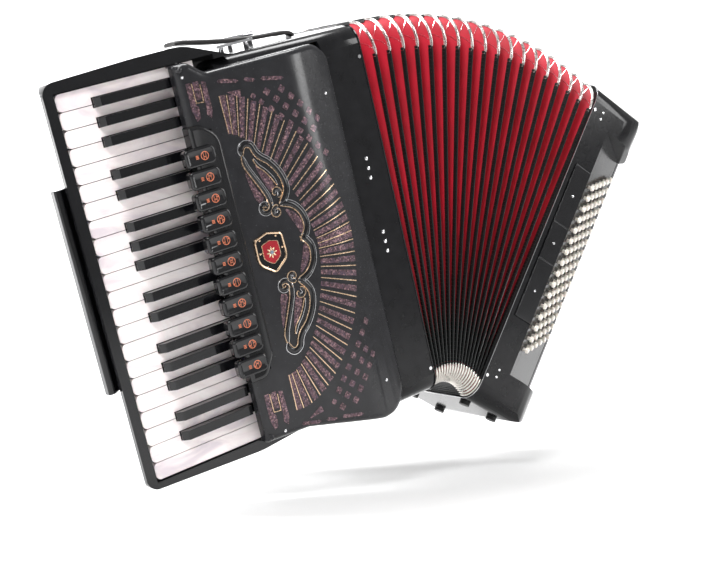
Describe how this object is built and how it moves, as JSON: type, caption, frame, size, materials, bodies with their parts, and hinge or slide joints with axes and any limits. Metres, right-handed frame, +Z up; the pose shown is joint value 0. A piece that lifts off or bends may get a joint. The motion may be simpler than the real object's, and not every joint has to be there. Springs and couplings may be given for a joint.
{
  "type": "piano accordion",
  "caption": "Piano accordion opened in a fan: pearl keyboard, register tabs, engraved grille, folding bellows, slanted bass button board and hand strap.",
  "frame": {"origin": "centre of the treble case's back face, where it rests on the player's chest", "axes": "+Z up as worn, +Y out of the treble case back towards the player, +X from the keyboard towards the bass side"},
  "size_m": [0.8967, 0.218, 0.5599],
  "materials": {
    "casing": "polished black celluloid over wood",
    "keyboard_frame": "polished black celluloid",
    "grille": "satin black, engraved",
    "grille_cloth": "glitter cloth",
    "badge": "polished",
    "white_key": "pearl celluloid, polished",
    "black_key": "polished",
    "register": "polished",
    "bass_button": "polished cream",
    "button_board": "polished",
    "bellows": "folded board with black tape and red cloth",
    "steel": "plain",
    "chrome": "polished",
    "aluminium": "machined",
    "wood": "oiled",
    "leather": "black, stitched",
    "rubber": "moulded"
  },
  "bodies": {
    "treble": {"bellows_strap": "leather", "grille_badge": "badge", "grille_cloth": "grille_cloth", "grille_cover": "grille", "key_axle": "steel", "key_springs": "steel", "keyboard_frame": "keyboard_frame", "register_housing": "casing", "treble_bellows_frame": "wood", "treble_case": "casing", "treble_fittings": "chrome", "treble_foundation": "aluminium", "treble_reed_blocks": "wood"},
    "bass_side": {"bass_case": "casing", "bass_button_board": "button_board", "bass_reed_blocks": "wood", "bass_strap": "leather", "bass_fittings": "chrome", "bass_feet": "rubber", "bass_bellows_frame": "wood"},
    "keys_a": {"keys_a": "white_key"},
    "keys_a_sharp": {"keys_a_sharp": "black_key"},
    "keys_b": {"keys_b": "white_key"},
    "keys_c": {"keys_c": "white_key"},
    "keys_c_sharp": {"keys_c_sharp": "black_key"},
    "keys_d": {"keys_d": "white_key"},
    "keys_d_sharp": {"keys_d_sharp": "black_key"},
    "keys_e": {"keys_e": "white_key"},
    "keys_f": {"keys_f": "white_key"},
    "keys_f_sharp": {"keys_f_sharp": "black_key"},
    "keys_g": {"keys_g": "white_key"},
    "keys_g_sharp": {"keys_g_sharp": "black_key"},
    "treble_register_01": {"treble_register_01": "register"},
    "treble_register_02": {"treble_register_02": "register"},
    "treble_register_03": {"treble_register_03": "register"},
    "treble_register_04": {"treble_register_04": "register"},
    "treble_register_05": {"treble_register_05": "register"},
    "treble_register_06": {"treble_register_06": "register"},
    "treble_register_07": {"treble_register_07": "register"},
    "treble_register_08": {"treble_register_08": "register"},
    "treble_register_09": {"treble_register_09": "register"},
    "treble_register_10": {"treble_register_10": "register"},
    "treble_register_11": {"treble_register_11": "register"},
    "bass_buttons_bass": {"bass_buttons_bass": "bass_button"},
    "bass_buttons_counterbass": {"bass_buttons_counterbass": "bass_button"},
    "bass_buttons_diminished": {"bass_buttons_diminished": "bass_button"},
    "bass_buttons_major": {"bass_buttons_major": "bass_button"},
    "bass_buttons_minor": {"bass_buttons_minor": "bass_button"},
    "bass_buttons_seventh": {"bass_buttons_seventh": "bass_button"},
    "bass_register_lower": {"bass_register_lower": "register"},
    "bass_register_middle": {"bass_register_middle": "register"},
    "bass_register_upper": {"bass_register_upper": "register"},
    "bellows_fold_03": {"bellows_fold_03": "bellows"},
    "bellows_fold_06": {"bellows_fold_06": "bellows"},
    "bellows_fold_09": {"bellows_fold_09": "bellows"},
    "bellows_fold_12": {"bellows_fold_12": "bellows"},
    "bellows_fold_15": {"bellows_fold_15": "bellows"},
    "palm_master_bar": {"palm_master_bar": "keyboard_frame"},
    "strap_adjuster": {"strap_adjuster": "chrome"},
    "air_button": {"air_button": "chrome"}
  },
  "joints": [
    {"name": "bellows_fan", "type": "hinge", "parent": "treble", "child": "bass_side", "pos_m": [0.18095, -0.094, -0.1712], "axis": [0, 1, 0], "range_deg": [-43.7, 4]},
    {"name": "bellows_fold_03_hinge", "type": "hinge", "parent": "treble", "child": "bellows_fold_03", "pos_m": [0.18095, -0.094, -0.1712], "axis": [0, 1, 0], "range_deg": [-7.29, 0.68]},
    {"name": "bellows_fold_06_hinge", "type": "hinge", "parent": "treble", "child": "bellows_fold_06", "pos_m": [0.18095, -0.094, -0.1712], "axis": [0, 1, 0], "range_deg": [-14.58, 1.34]},
    {"name": "bellows_fold_09_hinge", "type": "hinge", "parent": "treble", "child": "bellows_fold_09", "pos_m": [0.18095, -0.094, -0.1712], "axis": [0, 1, 0], "range_deg": [-21.86, 2.01]},
    {"name": "bellows_fold_12_hinge", "type": "hinge", "parent": "treble", "child": "bellows_fold_12", "pos_m": [0.18095, -0.094, -0.1712], "axis": [0, 1, 0], "range_deg": [-29.14, 2.68]},
    {"name": "bellows_fold_15_hinge", "type": "hinge", "parent": "treble", "child": "bellows_fold_15", "pos_m": [0.18095, -0.094, -0.1712], "axis": [0, 1, 0], "range_deg": [-36.43, 3.34]},
    {"name": "keys_a_press", "type": "hinge", "parent": "treble", "child": "keys_a", "pos_m": [-0.13988, -0.173, -0.01984], "axis": [0.2723, 0, -0.9622], "range_deg": [0, 1.7], "stiffness_Nm_per_rad": 4, "springref_deg": -8.59},
    {"name": "keys_a_sharp_press", "type": "hinge", "parent": "treble", "child": "keys_a_sharp", "pos_m": [-0.13988, -0.173, -0.01984], "axis": [0.2723, 0, -0.9622], "range_deg": [0, 1.7], "stiffness_Nm_per_rad": 4, "springref_deg": -8.59},
    {"name": "keys_b_press", "type": "hinge", "parent": "treble", "child": "keys_b", "pos_m": [-0.13988, -0.173, -0.01984], "axis": [0.2723, 0, -0.9622], "range_deg": [0, 1.7], "stiffness_Nm_per_rad": 4, "springref_deg": -8.59},
    {"name": "keys_c_press", "type": "hinge", "parent": "treble", "child": "keys_c", "pos_m": [-0.13988, -0.173, -0.01984], "axis": [0.2723, 0, -0.9622], "range_deg": [0, 1.7], "stiffness_Nm_per_rad": 4, "springref_deg": -8.59},
    {"name": "keys_c_sharp_press", "type": "hinge", "parent": "treble", "child": "keys_c_sharp", "pos_m": [-0.13988, -0.173, -0.01984], "axis": [0.2723, 0, -0.9622], "range_deg": [0, 1.7], "stiffness_Nm_per_rad": 4, "springref_deg": -8.59},
    {"name": "keys_d_press", "type": "hinge", "parent": "treble", "child": "keys_d", "pos_m": [-0.13988, -0.173, -0.01984], "axis": [0.2723, 0, -0.9622], "range_deg": [0, 1.7], "stiffness_Nm_per_rad": 4, "springref_deg": -8.59},
    {"name": "keys_d_sharp_press", "type": "hinge", "parent": "treble", "child": "keys_d_sharp", "pos_m": [-0.13988, -0.173, -0.01984], "axis": [0.2723, 0, -0.9622], "range_deg": [0, 1.7], "stiffness_Nm_per_rad": 4, "springref_deg": -8.59},
    {"name": "keys_e_press", "type": "hinge", "parent": "treble", "child": "keys_e", "pos_m": [-0.13988, -0.173, -0.01984], "axis": [0.2723, 0, -0.9622], "range_deg": [0, 1.7], "stiffness_Nm_per_rad": 4, "springref_deg": -8.59},
    {"name": "keys_f_press", "type": "hinge", "parent": "treble", "child": "keys_f", "pos_m": [-0.13988, -0.173, -0.01984], "axis": [0.2723, 0, -0.9622], "range_deg": [0, 1.7], "stiffness_Nm_per_rad": 4, "springref_deg": -8.59},
    {"name": "keys_f_sharp_press", "type": "hinge", "parent": "treble", "child": "keys_f_sharp", "pos_m": [-0.13988, -0.173, -0.01984], "axis": [0.2723, 0, -0.9622], "range_deg": [0, 1.7], "stiffness_Nm_per_rad": 4, "springref_deg": -8.59},
    {"name": "keys_g_press", "type": "hinge", "parent": "treble", "child": "keys_g", "pos_m": [-0.13988, -0.173, -0.01984], "axis": [0.2723, 0, -0.9622], "range_deg": [0, 1.7], "stiffness_Nm_per_rad": 4, "springref_deg": -8.59},
    {"name": "keys_g_sharp_press", "type": "hinge", "parent": "treble", "child": "keys_g_sharp", "pos_m": [-0.13988, -0.173, -0.01984], "axis": [0.2723, 0, -0.9622], "range_deg": [0, 1.7], "stiffness_Nm_per_rad": 4, "springref_deg": -8.59},
    {"name": "treble_register_01_press", "type": "hinge", "parent": "treble", "child": "treble_register_01", "pos_m": [-0.1881, -0.2105, 0.08811], "axis": [0.2723, 0, -0.9622], "range_deg": [0, 5], "stiffness_Nm_per_rad": 0.6, "springref_deg": -11.46},
    {"name": "treble_register_02_press", "type": "hinge", "parent": "treble", "child": "treble_register_02", "pos_m": [-0.18146, -0.2105, 0.06464], "axis": [0.2723, 0, -0.9622], "range_deg": [0, 5], "stiffness_Nm_per_rad": 0.6, "springref_deg": -11.46},
    {"name": "treble_register_03_press", "type": "hinge", "parent": "treble", "child": "treble_register_03", "pos_m": [-0.17481, -0.2105, 0.04116], "axis": [0.2723, 0, -0.9622], "range_deg": [0, 5], "stiffness_Nm_per_rad": 0.6, "springref_deg": -11.46},
    {"name": "treble_register_04_press", "type": "hinge", "parent": "treble", "child": "treble_register_04", "pos_m": [-0.16817, -0.2105, 0.01768], "axis": [0.2723, 0, -0.9622], "range_deg": [0, 5], "stiffness_Nm_per_rad": 0.6, "springref_deg": -11.46},
    {"name": "treble_register_05_press", "type": "hinge", "parent": "treble", "child": "treble_register_05", "pos_m": [-0.16152, -0.2105, -0.0058], "axis": [0.2723, 0, -0.9622], "range_deg": [0, 5], "stiffness_Nm_per_rad": 0.6, "springref_deg": -11.46},
    {"name": "treble_register_06_press", "type": "hinge", "parent": "treble", "child": "treble_register_06", "pos_m": [-0.15488, -0.2105, -0.02928], "axis": [0.2723, 0, -0.9622], "range_deg": [0, 5], "stiffness_Nm_per_rad": 0.6, "springref_deg": -11.46},
    {"name": "treble_register_07_press", "type": "hinge", "parent": "treble", "child": "treble_register_07", "pos_m": [-0.14824, -0.2105, -0.05276], "axis": [0.2723, 0, -0.9622], "range_deg": [0, 5], "stiffness_Nm_per_rad": 0.6, "springref_deg": -11.46},
    {"name": "treble_register_08_press", "type": "hinge", "parent": "treble", "child": "treble_register_08", "pos_m": [-0.14159, -0.2105, -0.07623], "axis": [0.2723, 0, -0.9622], "range_deg": [0, 5], "stiffness_Nm_per_rad": 0.6, "springref_deg": -11.46},
    {"name": "treble_register_09_press", "type": "hinge", "parent": "treble", "child": "treble_register_09", "pos_m": [-0.13495, -0.2105, -0.09971], "axis": [0.2723, 0, -0.9622], "range_deg": [0, 5], "stiffness_Nm_per_rad": 0.6, "springref_deg": -11.46},
    {"name": "treble_register_10_press", "type": "hinge", "parent": "treble", "child": "treble_register_10", "pos_m": [-0.12831, -0.2105, -0.12319], "axis": [0.2723, 0, -0.9622], "range_deg": [0, 5], "stiffness_Nm_per_rad": 0.6, "springref_deg": -11.46},
    {"name": "treble_register_11_press", "type": "hinge", "parent": "treble", "child": "treble_register_11", "pos_m": [-0.12166, -0.2105, -0.14667], "axis": [0.2723, 0, -0.9622], "range_deg": [0, 5], "stiffness_Nm_per_rad": 0.6, "springref_deg": -11.46},
    {"name": "palm_bar_push", "type": "slide", "parent": "treble", "child": "palm_master_bar", "axis": [0.9622, 0, 0.2723], "range_m": [0, 0.003], "stiffness_N_per_m": 400, "springref_m": -0.006},
    {"name": "bass_buttons_bass_press", "type": "slide", "parent": "bass_side", "child": "bass_buttons_bass", "axis": [-0.4942, 0.829, 0.2617], "range_m": [0, 0.0033], "stiffness_N_per_m": 250, "springref_m": -0.006},
    {"name": "bass_buttons_counterbass_press", "type": "slide", "parent": "bass_side", "child": "bass_buttons_counterbass", "axis": [-0.4942, 0.829, 0.2617], "range_m": [0, 0.0033], "stiffness_N_per_m": 250, "springref_m": -0.006},
    {"name": "bass_buttons_diminished_press", "type": "slide", "parent": "bass_side", "child": "bass_buttons_diminished", "axis": [-0.4942, 0.829, 0.2617], "range_m": [0, 0.0033], "stiffness_N_per_m": 250, "springref_m": -0.006},
    {"name": "bass_buttons_major_press", "type": "slide", "parent": "bass_side", "child": "bass_buttons_major", "axis": [-0.4942, 0.829, 0.2617], "range_m": [0, 0.0033], "stiffness_N_per_m": 250, "springref_m": -0.006},
    {"name": "bass_buttons_minor_press", "type": "slide", "parent": "bass_side", "child": "bass_buttons_minor", "axis": [-0.4942, 0.829, 0.2617], "range_m": [0, 0.0033], "stiffness_N_per_m": 250, "springref_m": -0.006},
    {"name": "bass_buttons_seventh_press", "type": "slide", "parent": "bass_side", "child": "bass_buttons_seventh", "axis": [-0.4942, 0.829, 0.2617], "range_m": [0, 0.0033], "stiffness_N_per_m": 250, "springref_m": -0.006},
    {"name": "bass_register_lower_press", "type": "slide", "parent": "bass_side", "child": "bass_register_lower", "axis": [0, 1, 0], "range_m": [0, 0.0018], "stiffness_N_per_m": 300, "springref_m": -0.005},
    {"name": "bass_register_middle_press", "type": "slide", "parent": "bass_side", "child": "bass_register_middle", "axis": [0, 1, 0], "range_m": [0, 0.0018], "stiffness_N_per_m": 300, "springref_m": -0.005},
    {"name": "bass_register_upper_press", "type": "slide", "parent": "bass_side", "child": "bass_register_upper", "axis": [0, 1, 0], "range_m": [0, 0.0018], "stiffness_N_per_m": 300, "springref_m": -0.005},
    {"name": "air_button_press", "type": "slide", "parent": "bass_side", "child": "air_button", "axis": [-0.8838, 0, 0.4679], "range_m": [0, 0.004], "stiffness_N_per_m": 300, "springref_m": -0.006},
    {"name": "strap_adjuster_turn", "type": "hinge", "parent": "bass_side", "child": "strap_adjuster", "pos_m": [0.48813, -0.048, 0.16855], "axis": [0.4679, 0, 0.8838], "continuous": true}
  ],
  "couplings": [
    {"joint": "bellows_fold_03_hinge", "follows": "bellows_fan", "ratio": 0.16667},
    {"joint": "bellows_fold_06_hinge", "follows": "bellows_fan", "ratio": 0.33333},
    {"joint": "bellows_fold_09_hinge", "follows": "bellows_fan", "ratio": 0.5},
    {"joint": "bellows_fold_12_hinge", "follows": "bellows_fan", "ratio": 0.66667},
    {"joint": "bellows_fold_15_hinge", "follows": "bellows_fan", "ratio": 0.83333}
  ]
}
